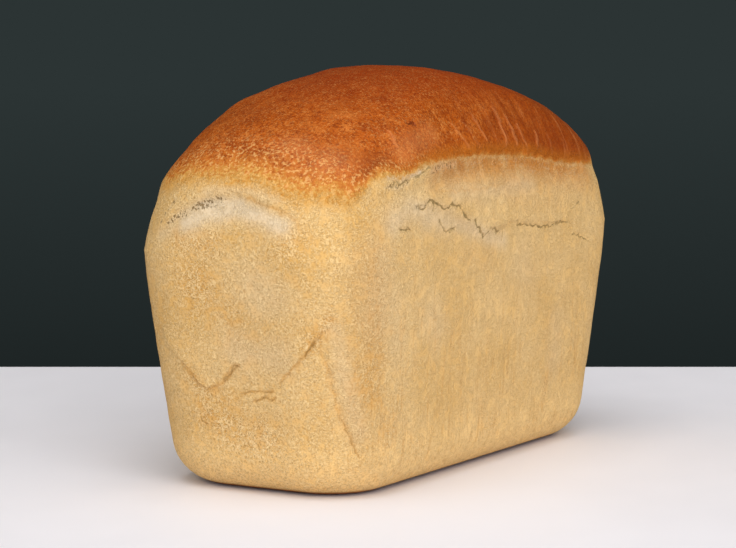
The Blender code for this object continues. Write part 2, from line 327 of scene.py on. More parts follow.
# The browned crust's lower edge round the loaf: a place on it and how wide it fades, in millimetres
CRUST_EDGE = [
    (-120, -30, 122, 14), (-112, -42, 120, 13), (-107, -46, 119.5, 10.5), (-100, -47, 124, 6.5),
    (-94, -49, 129.5, 5), (-88, -51, 130.5, 5), (-80, -53, 129.5, 4.5), (-70, -53, 131, 4),
    (-60, -53, 134, 3), (-50, -52, 135, 1.6), (-21, -52, 135.4, 1.2), (5, -52, 134, 1.2),
    (23, -53, 132.8, 1.2),
    (40, -53, 130.8, 1.2), (58, -54, 127.6, 1.4), (84, -54, 125, 2), (105, -46, 123, 5), (116, -34, 122, 9),
    (123, -10, 125, 12), (123, 12, 127, 13), (114, 36, 124, 11), (100, 47, 125, 7), (76, 53, 129, 3.5),
    (40, 52, 133, 2), (0, 52, 135, 1.4), (-40, 52, 134, 1.6), (-78, 52, 129, 3.5), (-104, 46, 124, 9),
    (-112, 38, 122, 12), (-118, 28, 125.5, 12.5), (-121, 16, 127, 12.5), (-122, 3, 128.5, 12.5),
    (-122, -15, 126.5, 13),
]
EDGE_WANDER = 0.0006  # how far the edge strays up and down
EDGE_WANDER_SHARE = 0.12  # and how much of its fading's width besides
TAN_REACH = 0.0100  # how far the long sides' tan band, partly painted shade under the lip, reaches below the edge
TAN_FADING = (0.0035, 0.0012)  # there is no such band where the edge fades wider than the first

# The unevenness of the whole surface: the lumps' sizes and heights
COARSE_SIZE, MIDDLING_SIZE, FINE_SIZE = 0.022, 0.008, 0.0032
CROWN_COARSE_HEIGHT = 0.0005
WALL_LUMP_HEIGHT, CROWN_LUMP_HEIGHT = 0.00022, 0.00014
FINE_LUMP_HEIGHT = 0.00010

# The mesh
COLUMNS_LONG, COLUMNS_SHORT = 124, 56
ROUNDING_ROWS = 10
WALL_ROWS = 27
UPPER_ROWS = 14
CROWN_ROWS = 38
UPPER_WALL = 0.072
FINER_REACHES = (0.0040, 0.0022)  # within each distance of a crack or fold the mesh is finer again
FINEST_REACH = 0.0010  # and once more this near to a crack
REACH = 0.20  # longer than any way out of the loaf
HALVINGS = 26

# The camera, which looks along the yaw, measured from +X, and down by the pitch
CAMERA_YAW = math.radians(30.55)
CAMERA_PITCH = math.radians(6.43)
CAMERA_DISTANCE = 1.304  # to the middle of the base
FRAME_WIDTH, FRAME_HEIGHT = 736, 548
BASE_CENTRE_PIXEL = (386.4, 455.2)
FOCAL_PIXELS = 3000.0
SENSOR_WIDTH = 36.0

# The table
TABLE_BEHIND = 0.2687  # from the middle of the base to the table's far edge
TABLE_FRONT = 1.5
TABLE_HALF_WIDTH = 1.2

# The lights: name, place, size in metres, power in watts and tint
SOFTBOXES = [
    ("front_softbox", (-1.05, -1.14, 0.80), 1.2, 12.8, (1.0, 0.985, 0.975)),
    ("top_softbox", (-0.35, -0.10, 1.30), 0.9, 5.6, (1.0, 1.0, 1.0)),
    ("low_softbox", (-1.35, -1.02, 0.26), 0.4, 1.7, (1.0, 0.985, 0.975)),
    ("left_softbox", (-0.85, 1.16, 0.50), 1.0, 1.4, (1.0, 1.0, 1.0)),
]
LIGHT_AIM = (0.0, 0.0, 0.08)
FILL_FROM = (-0.76, -0.54, 0.36)  # the direction that most of the room's soft light comes from
FILL_SPREAD = (-0.55, 0.85)  # from where the soft light fades in, as a cosine, to where it is full
FILL_COLOUR = (0.92, 0.92, 0.92, 1.0)
ROOM_DROP = (-0.145, -0.05)  # how far below the horizon the room behind goes from dark to slate

# How many lumps a metre each of the patterns has
CLOUD_SCALE, GOLDEN_SCALE, TAN_SCALE, RIM_SCALE = 34.0, 260.0, 140.0, 420.0
GRAIN_SCALE, RIDGE_SCALE, RIDGE_FIELD_SCALE = 1050.0, 950.0, 230.0
MOTTLE_SCALE, SPECK_SCALE, CROWN_PATCH_SCALE, BLOTCH_SCALE = 150.0, 760.0, 42.0, 300.0
FLECK_SCALE, FLECK_FIELD_SCALE, CRUMB_SCALE = 1050.0, 190.0, 720.0
RAGGED_SCALE, SALT_SCALE = 210.0, 620.0
PORE_SCALE, CRACK_GAP_SCALE, POLISH_SCALE = 820.0, 330.0, 90.0
STREAK_STRETCH = (640, 640, 32)
CROWN_STRETCH = (300, 36, 36)
TABLE_CLOUD_SCALE, TABLE_POLISH_SCALE = 6.0, 40.0


def depth_in_loaf(points):
    """Says how far outside the plain form each point is; inside it the value is negative."""
    x, y, z = np.abs(points[:, 0]), np.abs(points[:, 1]), points[:, 2]
    wall = np.clip(z, 0, None) - SHOULDER * np.logaddexp(0, (z - RIM_HEIGHT) / SHOULDER)
    rise = np.clip((z - RIM_HEIGHT) / CROWN_HEIGHT, 0, 1)
    half_length = (BASE_LENGTH / 2 + END_SLOPE * wall) * (1 - rise ** END_RISE) ** (1 / END_TURN)
    half_width = (BASE_WIDTH / 2 + SIDE_SLOPE * wall) * (1 - rise ** SIDE_RISE) ** (1 / SIDE_TURN)
    radius = BASE_WIDTH / 2 - (BASE_WIDTH / 2 - CORNER_RADIUS) * (1 - rise) ** CORNER_OPENING
    radius = np.minimum(radius, np.minimum(half_length, half_width) + 1e-9)
    across, along = x - half_length + radius, y - half_width + radius
    plan = np.hypot(np.maximum(across, 0), np.maximum(along, 0)) + np.minimum(np.maximum(across, along), 0)
    out = plan - radius + BASE_ROUNDING
    down = BASE_LEVEL + BASE_ROUNDING - z
    edge = np.hypot(np.maximum(out, 0), np.maximum(down, 0)) + np.minimum(np.maximum(out, down), 0)
    return np.maximum(edge - BASE_ROUNDING, np.maximum(z - RIM_HEIGHT - CROWN_HEIGHT, BASE_LEVEL - z))


def on_surface(starts, directions):
    """Follows each direction from inside the loaf to the plain form's surface."""
    inside = np.zeros(len(starts))
    outside = np.full(len(starts), REACH)
    for _ in range(HALVINGS):
        middle = (inside + outside) / 2
        hit = depth_in_loaf(starts + directions * middle[:, None]) > 0
        outside = np.where(hit, middle, outside)
        inside = np.where(hit, inside, middle)
    return starts + directions * inside[:, None]


def surface_slopes(points, step=0.0008):
    """Gives how the plain form's depth changes along X, Y and Z at each point."""
    slopes = []
    for axis in range(3):
        shift = np.zeros(3)
        shift[axis] = step
        slopes.append((depth_in_loaf(points + shift) - depth_in_loaf(points - shift)) / (2 * step))
    return np.stack(slopes, axis=1)


def wall_path(face, places):
    """Lifts places on one face, given as distance along it and height in millimetres, onto the surface."""
    along, height = np.array(places).T / 1000
    zero = np.zeros(len(along))
    outward = -1.0 if face.startswith("near") else 1.0
    if face.endswith("end"):
        starts = np.stack([zero, along, height], axis=1)
        direction = (outward, 0.0, 0.0)
    else:
        starts = np.stack([along, zero, height], axis=1)
        direction = (0.0, outward, 0.0)
    return on_surface(starts, np.tile(direction, (len(along), 1)))


def drawn(lines):
    """Gives the path of each line on the surface, and its strength."""
    return [(wall_path(face, places), strength) for face, rows in lines.items() for places, strength in rows]


def nearest_on_path(points, path):
    """Gives each point's distance to a path, its place along it from 0 to 1, and how far above it lies."""
    lengths = np.linalg.norm(np.diff(path, axis=0), axis=1)
    run = np.concatenate([[0], np.cumsum(lengths)])
    distance = np.full(len(points), REACH)
    place = np.zeros(len(points))
    above = np.zeros(len(points))
    for first, last, length, before in zip(path[:-1], path[1:], lengths, run):
        share = np.clip((points - first) @ (last - first) / length ** 2, 0, 1)
        offset = points - first - share[:, None] * (last - first)
        size = np.linalg.norm(offset, axis=1)
        closer = size < distance
        distance = np.where(closer, size, distance)
        place = np.where(closer, (before + share * length) / run[-1], place)
        above = np.where(closer, offset[:, 2], above)
    return distance, place, above


def smooth(low, high, value):
    """Goes softly from 0 at low to 1 at high."""
    ramp = np.clip((value - low) / (high - low), 0, 1)
    return ramp * ramp * (3 - 2 * ramp)


def fade_ends(place, share):
    """Is 1 along most of a path and falls to 0 over the given share of it at either end."""
    return smooth(0, share, np.minimum(place, 1 - place))


def uneven(points, size, seed):
    """Smooth noise from about -1 to 1, whose lumps are about the given size."""
    places = points / size + np.array((seed * 17.3, seed * 5.9, seed * 11.7))
    return np.array([noise.noise(place) for place in places.tolist()])


def ring_places():
    """Goes once round a rectangle from -1 to 1, seen from above and anticlockwise."""
    across = np.linspace(-1, 1, COLUMNS_LONG + 1)
    along = np.linspace(-1, 1, COLUMNS_SHORT + 1)
    near = [(u, -1.0) for u in across[:-1]]
    right = [(1.0, v) for v in along[:-1]]
    far = [(u, 1.0) for u in across[:0:-1]]
    left = [(-1.0, v) for v in along[:0:-1]]
    return near + right + far + left


def wall_rays(ring):
    """Gives the starts and directions of the rows from the base up to the edge of the crown's top."""
    turn = np.linspace(0, np.pi / 2, ROUNDING_ROWS + 1)[:-1]
    heights = np.concatenate([
        BASE_LEVEL + BASE_ROUNDING * (1 - np.cos(turn)),
        np.linspace(BASE_LEVEL + BASE_ROUNDING, UPPER_WALL, WALL_ROWS + 1)[:-1],
        np.linspace(UPPER_WALL, RIM_HEIGHT, UPPER_ROWS + 1)[:-1],
    ])
    level = [(height, 0.0) for height in heights]
    rising = [(RIM_HEIGHT, share * CROWN_HEIGHT) for share in np.linspace(0, 1, CROWN_ROWS + 1)]
    starts, directions = [], []
    for height, lift in level + rising:
        for u, v in ring:
            starts.append((0, 0, height))
            directions.append((u * RIM_HALF_LENGTH, v * RIM_HALF_WIDTH, lift))
    return np.array(starts), np.array(directions)


def top_rays():
    """Gives the starts and directions of the points inside the edge of the crown's top."""
    directions = []
    for v in np.linspace(-1, 1, COLUMNS_SHORT + 1)[1:-1]:
        for u in np.linspace(-1, 1, COLUMNS_LONG + 1)[1:-1]:
            directions.append((u * RIM_HALF_LENGTH, v * RIM_HALF_WIDTH, CROWN_HEIGHT))
    return np.tile((0.0, 0.0, RIM_HEIGHT), (len(directions), 1)), np.array(directions)


def loaf_faces(ring_length, rows):
    """Joins the points: the base, the bands between the rows, and the grid of the crown's top."""
    faces = [tuple(range(ring_length))[::-1]]
    for row in range(rows - 1):
        for column in range(ring_length):
            following = (column + 1) % ring_length
            low, high = row * ring_length, (row + 1) * ring_length
            faces.append((low + column, low + following, high + following, high + column))
    edge = (rows - 1) * ring_length
    inner = rows * ring_length

    def top_point(i, j):
        """Numbers the point of the top that is i along and j across."""
        if j == 0:
            return edge + i
        if i == COLUMNS_LONG:
            return edge + COLUMNS_LONG + j
        if j == COLUMNS_SHORT:
            return edge + 2 * COLUMNS_LONG + COLUMNS_SHORT - i
        if i == 0:
            return edge + ring_length - j
        return inner + (j - 1) * (COLUMNS_LONG - 1) + i - 1

    for j in range(COLUMNS_SHORT):
        for i in range(COLUMNS_LONG):
            corners = [top_point(i, j), top_point(i + 1, j), top_point(i + 1, j + 1), top_point(i, j + 1)]
            faces.append(tuple(corners))
    return faces


def refine(work, reach, paths):
    """Halves the mesh's cells that lie near the paths."""
    cells = [face for face in work.faces if len(face.verts) < 9]
    centres = np.array([face.calc_center_median() for face in cells])
    gap = np.full(len(centres), REACH)
    for path in paths:
        gap = np.minimum(gap, nearest_on_path(centres, path)[0])
    edges = {edge for face, size in zip(cells, gap) if size < reach for edge in face.edges}
    work.edges.index_update()
    ordered = sorted(edges, key=lambda edge: edge.index)
    bmesh.ops.subdivide_edges(work, edges=ordered, cuts=1, use_grid_fill=True)


def plain_loaf():
    """Makes the plain form's mesh, finer near the cracks and folds than elsewhere."""
    ring = ring_places()
    wall_starts, wall_directions = wall_rays(ring)
    top_starts, top_directions = top_rays()
    directions = np.concatenate([wall_directions, top_directions])
    directions /= np.linalg.norm(directions, axis=1, keepdims=True)
    points = on_surface(np.concatenate([wall_starts, top_starts]), directions)
    mesh = bpy.data.meshes.new("loaf_crust")
    mesh.from_pydata(points.tolist(), [], loaf_faces(len(ring), len(wall_starts) // len(ring)))
    work = bmesh.new()
    work.from_mesh(mesh)
    cracks = [path for path, _ in drawn(CRACKS)]
    folds = [path for path, _ in drawn(FOLD_AND_SHADOW_LINES) + drawn(WRINKLES)]
    folds += [wall_path(face, places) for face, places, _, _ in PATCHES["torn"]]
    for reach in FINER_REACHES:
        refine(work, reach, cracks + folds)
    refine(work, FINEST_REACH, cracks)
    work.to_mesh(mesh)
    work.free()
    return mesh


class Surface:
    """The plain form's points with what the relief and the masks are worked out from."""

    def __init__(self, points):
        slopes = surface_slopes(points)
        steepness = np.maximum(np.linalg.norm(slopes, axis=1), 1e-9)
        self.normals = slopes / steepness[:, None]
        self.points = points - self.normals * (depth_in_loaf(points) / steepness)[:, None]
        self.x, self.y, self.z = self.points.T
        self.side = np.abs(self.normals[:, 1])
        self.arch = np.cos(np.pi * np.clip(self.x / BASE_LENGTH, -0.5, 0.5))
        self.lift = np.clip((self.z - BASE_LEVEL) / BASE_ROUNDING, 0, 1)
        self.coarse = uneven(self.points, COARSE_SIZE, 1)
        self.middling = uneven(self.points, MIDDLING_SIZE, 2)
        self.fine = uneven(self.points, FINE_SIZE, 3)
        drift = np.stack([uneven(self.points, CRACK_TURN, seed) for seed in (5, 6, 7)], axis=1)
        jitter = np.stack([uneven(self.points, CRACK_TURN / 3, seed) for seed in (8, 9, 10)], axis=1)
        stray = CRACK_DRIFT * drift + CRACK_JITTER * jitter
        self.strayed = self.points + stray - self.normals * np.sum(stray * self.normals, axis=1)[:, None]
        self.above, self.fading = self.from_crust_edge()

    def from_crust_edge(self):
        """Gives each point's height above the browned crust's lower edge, and how wide that fades there."""
        places = np.array(CRUST_EDGE) / 1000
        angles = np.arctan2(places[:, 1] / BASE_WIDTH, places[:, 0] / BASE_LENGTH)
        here = np.arctan2(self.y / BASE_WIDTH, self.x / BASE_LENGTH)
        height = np.interp(here, angles, places[:, 2], period=2 * np.pi)
        fading = np.interp(here, angles, places[:, 3], period=2 * np.pi)
        height = height + EDGE_WANDER * self.middling + EDGE_WANDER_SHARE * fading * self.coarse
        return self.z - height, fading

    def around(self, face, places, spread):
        """Is 1 on a path and falls softly to 0 about a spread away from it."""
        distance, _, _ = nearest_on_path(self.points, wall_path(face, places))
        ragged = distance + 0.25 * spread * self.middling
        return np.exp(-(np.maximum(ragged, 0) / spread) ** 2)


def lip_and_valley(surface):
    """Makes the crust's lip stand out and the valley run below it, deepest on the long sides."""
    wave = np.sin(surface.x * LIP_WAVE_TURNS[0] + surface.y * LIP_WAVE_TURNS[1])
    middle = surface.side * surface.arch
    below = surface.z - (LIP_HEIGHT + LIP_ARCH * middle + LIP_WAVE * wave)
    swell = LIP_SWELL * (LIP_AT_CORNERS + (1 - LIP_AT_CORNERS) * middle)
    depth = VALLEY_DEPTH * (VALLEY_AT_CORNERS + (1 - VALLEY_AT_CORNERS) * middle)
    valley = depth * np.exp(-((below + VALLEY_DROP) / VALLEY_SPREAD) ** 2)
    return swell * np.exp(-(below / LIP_SPREAD) ** 2) - valley


def crown_swellings(surface):
    """Makes the crown uneven, with broad swellings and hollows."""
    relief = 0.0
    for centre, radius, height in SWELLINGS + CROWN_BUMPS:
        distance = np.linalg.norm(surface.points - np.array(centre), axis=1)
        relief += height * np.exp(-(distance / radius) ** 2)
    return relief


def step_along(points, path, height, spread, edge, fade):
    """Raises the surface above a path and sinks it below, most at the path and less away from it."""
    distance, place, above = nearest_on_path(points, path)
    return height * np.tanh(above / edge) * np.exp(-(distance / spread) ** 2) * fade_ends(place, fade)


def breaks_and_folds(surface):
    """Makes the steps at the break lines and folds, and the grooves of the corner creases."""
    relief = 0.0
    wandering = surface.points + BREAK_STRAYING * (surface.strayed - surface.points)
    for face, places in BREAK_LINES.items():
        path = wall_path(face, places)
        relief += step_along(wandering, path, BREAK_STEP[face], BREAK_SPREAD, BREAK_EDGE, BREAK_FADE)
    for face, folds in FOLDS.items():
        for places in folds:
            path = wall_path(face, places)
            relief += step_along(wandering, path, FOLD_STEP, FOLD_SPREAD, FOLD_EDGE, PATH_FADE)
    for face, places in CREASES.items():
        path = wall_path(face, places)
        distance, place, _ = nearest_on_path(wandering, path)
        outward = np.array((0.0, np.sign(path[0, 1]), 0.0))
        beside, _, _ = nearest_on_path(wandering, path + outward * CREASE_RIDGE_SHIFT)
        groove = CREASE_DEPTH * np.exp(-(distance / CREASE_WIDTH) ** 2)
        ridge = CREASE_RIDGE * np.exp(-(beside / CREASE_WIDTH) ** 2)
        relief += (ridge - groove) * fade_ends(place, PATH_FADE)
    return relief


def lines_mask(surface, lines, reach):
    """Is a line's strength in its middle and falls evenly to 0 at the given reach from it."""
    mask = 0.0
    for path, strength in drawn(lines):
        distance, place, _ = nearest_on_path(surface.strayed, path)
        fade = fade_ends(place, LINE_FADE) ** 0.5
        mask = np.maximum(mask, strength * (1 - distance / reach) * fade)
    return mask


def patch_mask(surface, kind):
    """Is as strong as each of one kind's patches in its middle."""
    mask = 0.0
    for face, places, spread, strength in PATCHES[kind]:
        mask = np.maximum(mask, strength * surface.around(face, places, spread / 1000))
    return mask


def blotch_mask(surface):
    """Is 1 in the middle of the crown's dark blotches."""
    mask = patch_mask(surface, "dark")
    for centre, radius in CROWN_BLOTCHES:
        distance = np.linalg.norm(surface.points - np.array(centre), axis=1)
        mask = np.maximum(mask, np.exp(-((distance + 0.4 * radius * surface.middling) / radius) ** 2))
    return mask


def tan_and_shade_mask(surface):
    """Is 1 just below the crust's edge on the long sides and falls to 0 further down."""
    below = np.clip(-surface.above, 0, None)
    return np.exp(-(below / TAN_REACH) ** 2) * smooth(*TAN_FADING, surface.fading)


def loaf_relief(surface, masks):
    """Adds up how far every point of the surface stands out of the plain form."""
    relief = lip_and_valley(surface) + crown_swellings(surface) + breaks_and_folds(surface)
    relief -= CRACK_DEPTH * smooth(0.35, 0.95, masks["crack"])
    relief -= FOLD_DEPTH * smooth(0.40, 0.95, masks["fold"])
    relief -= TORN_DEPTH * masks["torn"]
    relief += WRINKLE_HEIGHT * smooth(0.0, 1.0, masks["wrinkle"])
    crown = smooth(0.0, 0.012, surface.above)
    lump_height = WALL_LUMP_HEIGHT + (CROWN_LUMP_HEIGHT - WALL_LUMP_HEIGHT) * crown
    relief += CROWN_COARSE_HEIGHT * crown * surface.coarse
    relief += lump_height * surface.middling + FINE_LUMP_HEIGHT * surface.fine
    return relief * surface.lift


def make_masks(surface):
    """Works out the masks that the material reads."""
    patches = {kind: patch_mask(surface, kind) for kind in ("golden_and_shade", "pale", "blush_and_sheen", "torn")}
    return patches | {
        "above_edge": surface.above,
        "fading": surface.fading,
        "side": surface.side,
        "crack": lines_mask(surface, CRACKS, CRACK_REACH),
        "fold": lines_mask(surface, FOLD_AND_SHADOW_LINES, FOLD_REACH),
        "wrinkle": lines_mask(surface, WRINKLES, WRINKLE_REACH),
        "dark": blotch_mask(surface),
        "tan": tan_and_shade_mask(surface),
    }


def add_object(name, data):
    """Makes an object of a mesh, camera or light and puts it in the scene."""
    made = bpy.data.objects.new(name, data)
    bpy.context.scene.collection.objects.link(made)
    return made


def make_loaf(crust):
    """Builds the loaf's fine surface with its masks, in the place of the plain solid."""
    mesh = plain_loaf()
    surface = Surface(np.array([point.co for point in mesh.vertices]))
    masks = make_masks(surface)
    points = surface.points + surface.normals * loaf_relief(surface, masks)[:, None]
    points[:, 2] = np.maximum(points[:, 2] - BASE_LEVEL, 0.0)
    low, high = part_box("loaf")
    middle = (points.min(axis=0) + points.max(axis=0)) / 2
    points[:, 0] += (low[0] + high[0]) / 2 - middle[0]
    points[:, 1] += (low[1] + high[1]) / 2 - middle[1]
    mesh.vertices.foreach_set("co", points.ravel())
    for name, values in masks.items():
        layer = mesh.attributes.new(name, "FLOAT", "POINT")
        layer.data.foreach_set("value", values.astype(np.float32))
    mesh.shade_smooth()
    mesh.materials.append(crust)
    mesh.update()
    loaf = add_object("loaf_crust", mesh)
    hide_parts("loaf")
    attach(loaf, "root")


class Graph:
    """The nodes of a material or of the room's light, added one after another."""

    def __init__(self, owner):
        owner.use_nodes = True
        self.tree = owner.node_tree
        self.shader = self.tree.nodes.get("Principled BSDF")
        self.places = self.add("TexCoord").outputs

    def add(self, kind, settings=None, **inputs):
        """Adds a node, sets its properties, and links or sets its inputs by name or number."""
        node = self.tree.nodes.new("ShaderNode" + kind)
        for name, value in (settings or {}).items():
            setattr(node, name, value)
        for name, value in inputs.items():
            self.feed(node, name, value)
        return node

    def feed(self, node, name, value):
        """Links a socket to an input, or sets the input's own value."""
        socket = node.inputs[int(name[1:])] if name[1:].isdigit() else node.inputs[name]
        if isinstance(value, bpy.types.NodeSocket):
            self.tree.links.new(value, socket)
        else:
            socket.default_value = value

    def mask(self, name):
        """Reads one of the mesh's masks."""
        return self.add("Attribute", {"attribute_name": name}).outputs["Fac"]

    def math(self, operation, first, second):
        """Works out one number from two."""
        return self.add("Math", {"operation": operation}, i0=first, i1=second).outputs[0]

    def times(self, product, *others):
        """Multiplies numbers."""
        for other in others:
            product = self.math("MULTIPLY", product, other)
        return product

    def plus(self, first, second):
        """Adds two numbers."""
        return self.math("ADD", first, second)

    def between(self, value, low, high, to_low=0.0, to_high=1.0):
        """Maps a value from one range softly onto another."""
        node = self.add("MapRange", {"interpolation_type": "SMOOTHSTEP"}, i0=value, i1=low, i2=high,
                        i3=to_low, i4=to_high)
        return node.outputs["Result"]

    def mix(self, share, first, second):
        """Mixes two colours."""
        node = self.add("Mix", {"data_type": "RGBA", "clamp_factor": True}, i0=share, i6=first, i7=second)
        return node.outputs[2]

    def over(self, under, colour, *shares):
        """Lays a colour over another, as strongly as its shares say together."""
        return self.mix(self.times(*shares), under, colour)

    def wash(self, under, colour, value, low, high, most=1.0):
        """Lays a colour over another where a value goes from low to high."""
        return self.over(under, colour, self.between(value, low, high, 0.0, most))

    def noise(self, scale, detail=4.0, rough=0.55, stretch=(1, 1, 1), warp=0.0):
        """Gives cloudy noise from about 0 to 1."""
        place = self.add("Mapping", Vector=self.places["Object"], Scale=stretch).outputs["Vector"]
        node = self.add("TexNoise", Vector=place, Scale=scale, Detail=detail, Roughness=rough,
                        Distortion=warp)
        return node.outputs["Fac"]

    def worms(self, scale, width, warp=0.4):
        """Is 1 along thin winding lines and 0 elsewhere."""
        away = self.math("SUBTRACT", self.noise(scale, 1.5, 0.5, warp=warp), 0.5)
        away = self.math("ABSOLUTE", away, 0.0)
        return self.between(away, width, 0.15 * width)


def colour(red, green, blue):
    """Turns a colour as it is seen, from 0 to 255, into the light that it sends back."""
    parts = []
    for part in (red, green, blue):
        share = part / 255
        parts.append(share / 12.92 if share <= 0.04045 else ((share + 0.055) / 1.055) ** 2.4)
    return (*parts, 1.0)


WALL_PALE = colour(219, 180, 119)
WALL_GOLD = colour(211, 167, 98)
WALL_DEEP = colour(200, 143, 66)
# painted light: the colour of the lowest walls, lighter as if lit from the table
WALL_LOW_PAINTED_LIGHT = colour(241, 200, 134)
# the grain's darker hollows, and painted shade on the near corner
WALL_HOLLOW_AND_SHADE = colour(168, 124, 66)
FLOUR = colour(242, 212, 158)
FLOUR_GREY = colour(215, 196, 166)
EDGE_GOLD = colour(197, 142, 66)
EDGE_TAN = colour(185, 108, 40)
# tan: browned crust, and painted shade under the lip
LIP_TAN_AND_SHADE = colour(186, 116, 42)
CROWN_LIGHT = colour(192, 107, 40)
CROWN_MIDDLE = colour(169, 80, 12)
CROWN_DARK = colour(128, 50, 4)
CROWN_TOP = colour(138, 46, 0)
# pinkish light brown: the crown's paler, stretched crust, and painted sheen in the blush patches
CROWN_BLUSH_AND_SHEEN = colour(206, 130, 76)
FLECK = colour(222, 162, 92)
FLECK_PALE = colour(228, 178, 110)
EDGE_ORANGE = colour(183, 104, 24)
CRACK_BROWN = colour(144, 120, 74)
CROWN_CRACK = colour(104, 40, 8)
# the folds' dark brown: the crust's tone, and painted shade in the grooves
FOLD_BROWN_AND_SHADE = colour(136, 100, 44)
PORE_BROWN = colour(122, 92, 44)
# the browned base, darkened as painted shade on the underside
BASE_BROWN_AND_SHADE = colour(142, 76, 24)
TABLE_SHADE, TABLE_WHITE = colour(236, 233, 237), colour(239, 236, 240)
ROOM_DARK, ROOM_SLATE = colour(30, 36, 36), colour(44, 52, 52)

WALL_ROUGHNESS = 0.85
CROWN_ROUGHNESS = (0.42, 0.54)
CRUST_SHINE, TABLE_SHINE = 0.10, 0.25
GRAIN_HEIGHT = 0.0007


def wall_colour(graph, grain, ridges):
    """Paints the pale walls: soft patches, painted light by the base, a winding grain with floury ridges,
    upright streaks, and painted shade by the near corner.
    """
    clouds = graph.noise(CLOUD_SCALE, 5.0, 0.6)
    wall = graph.mix(graph.between(clouds, 0.34, 0.68), WALL_PALE, WALL_GOLD)
    broken = graph.between(graph.noise(GOLDEN_SCALE, 4.0, 0.6), 0.25, 0.60, 0.3, 1.0)
    # golden patches, one of them painted shade beside the near corner
    wall = graph.over(wall, WALL_DEEP, graph.mask("golden_and_shade"), broken, 0.75)
    # painted light: the walls lighter towards the base, as if lit from the table
    wall = graph.wash(wall, WALL_LOW_PAINTED_LIGHT, graph.height, 0.036, 0.006, 0.85)
    streaks = graph.between(graph.noise(1.0, 3.0, 0.6, stretch=STREAK_STRETCH), 0.52, 0.68)
    upright = graph.between(graph.height, 0.11, 0.03, 0.16, 0.65)
    wall = graph.over(wall, WALL_DEEP, streaks, graph.side, upright)
    near_end = graph.between(graph.across, -0.108, -0.086)
    wall = graph.over(wall, FLOUR, graph.side, near_end, 0.18)
    wall = graph.over(wall, FLOUR_GREY, graph.pale, 0.85)
    hollows = graph.between(grain, 0.54, 0.36)
    wall = graph.over(wall, WALL_HOLLOW_AND_SHADE, hollows, graph.coarseness, 0.55)
    return graph.over(wall, FLOUR, ridges, graph.coarseness, 0.50)


def crown_colour(graph, flecks):
    """Paints the crown: mottled chestnut with dark blotches, light flecks, stretched lines, and pinkish
    patches that are partly painted sheen.
    """
    mottle = graph.noise(MOTTLE_SCALE, 8.0, 0.78, warp=0.5)
    crown = graph.mix(graph.between(mottle, 0.30, 0.50), CROWN_DARK, CROWN_MIDDLE)
    crown = graph.wash(crown, CROWN_LIGHT, mottle, 0.48, 0.66, 0.9)
    specks = graph.noise(SPECK_SCALE, 3.0, 0.65)
    crown = graph.wash(crown, CROWN_DARK, specks, 0.52, 0.38, 0.8)
    patches = graph.noise(CROWN_PATCH_SCALE, 3.0, 0.55, warp=0.6)
    crown = graph.wash(crown, CROWN_DARK, patches, 0.46, 0.32, 0.45)
    crown = graph.wash(crown, CROWN_LIGHT, patches, 0.53, 0.68, 0.40)
    broken = graph.between(graph.noise(BLOTCH_SCALE), 0.35, 0.60, 0.3, 1.0)
    # dark blotches, one of them partly painted shade beside the nose bump
    crown = graph.over(crown, CROWN_DARK, graph.mask("dark"), broken, 0.8)
    # painted sheen: pinkish patches lighten the crown where a soft highlight falls
    crown = graph.over(crown, CROWN_BLUSH_AND_SHEEN, graph.mask("blush_and_sheen"), 0.35)
    crown = graph.wash(crown, CROWN_DARK, graph.across, -0.03, 0.07, 0.6)
    crown = graph.wash(crown, CROWN_TOP, graph.height, 0.148, 0.168, 0.75)
    far_half = graph.between(graph.across, -0.045, 0.0)
    flank = graph.between(graph.side, 0.15, 0.80)
    stretched = graph.noise(1.0, 5.0, 0.62, stretch=CROWN_STRETCH)
    furrows = graph.times(graph.between(stretched, 0.52, 0.36), far_half, 0.6)
    crown = graph.mix(furrows, crown, CROWN_DARK)
    lines = graph.times(graph.between(stretched, 0.54, 0.72), far_half, flank, 0.4)
    crown = graph.mix(lines, crown, CROWN_BLUSH_AND_SHEEN)
    near_half = graph.between(graph.across, 0.04, -0.05, 0.25, 1.0)
    return graph.over(crown, FLECK, flecks, near_half, 0.32)


def tan_and_shade_band(graph, wall, flecks):
    """Paints the long sides' tan band below the crown, partly browned crust and partly painted shade under
    the lip, with its pale, broken rim.
    """
    tan = graph.mask("tan")
    uneven_tan_and_shade = graph.times(tan, graph.between(graph.noise(TAN_SCALE, 5.0, 0.6), 0.25, 0.60, 0.45, 0.95))
    # the tan band: partly browned crust, partly painted shade under the lip
    wall = graph.mix(uneven_tan_and_shade, wall, LIP_TAN_AND_SHADE)
    wall = graph.over(wall, FLOUR_GREY, flecks, tan, 0.3)
    rim = graph.times(graph.between(graph.above, -0.0022, -0.0008), tan)
    broken = graph.between(graph.noise(RIM_SCALE, 5.0, 0.7), 0.40, 0.62)
    return graph.over(wall, WALL_PALE, rim, broken, 0.42)


